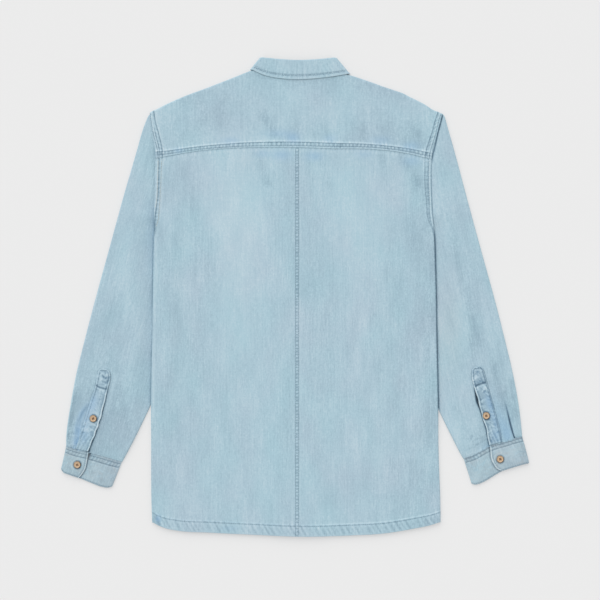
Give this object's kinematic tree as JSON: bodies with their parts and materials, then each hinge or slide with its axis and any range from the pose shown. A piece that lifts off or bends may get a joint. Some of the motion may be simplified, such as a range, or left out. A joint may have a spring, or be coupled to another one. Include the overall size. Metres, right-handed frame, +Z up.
{
  "type": "denim shirt laid flat",
  "caption": "Long-sleeved light blue denim shirt with a collar, back yoke and buttoned cuffs, laid flat on its front with its back up.",
  "frame": {"origin": "middle of the shirt's base, on the table it lies on", "axes": "+Z up from the table through the shirt's back, +Y towards its collar, +X towards the wearer's right sleeve"},
  "size_m": [0.8438, 0.8614, 0.0109],
  "materials": {
    "denim": "light washed blue denim twill, matt",
    "button": "satin brown four-hole button"
  },
  "bodies": {
    "root": {"back_yoke": "denim", "back_left": "denim", "back_right": "denim", "front_left": "denim", "front_right": "denim", "collar_stand": "denim", "collar_leaf": "denim", "sleeve_left": "denim", "sleeve_right": "denim", "sleeve_placket_left": "denim", "sleeve_placket_right": "denim", "cuff_left": "denim", "cuff_right": "denim", "button_cuff_left": "button", "button_cuff_right": "button", "button_placket_left": "button", "button_placket_right": "button", "button_stand": "button", "button_front_1": "button", "button_front_2": "button", "button_front_3": "button", "button_front_4": "button", "button_front_5": "button", "button_front_6": "button", "button_front_7": "button"}
  },
  "joints": []
}
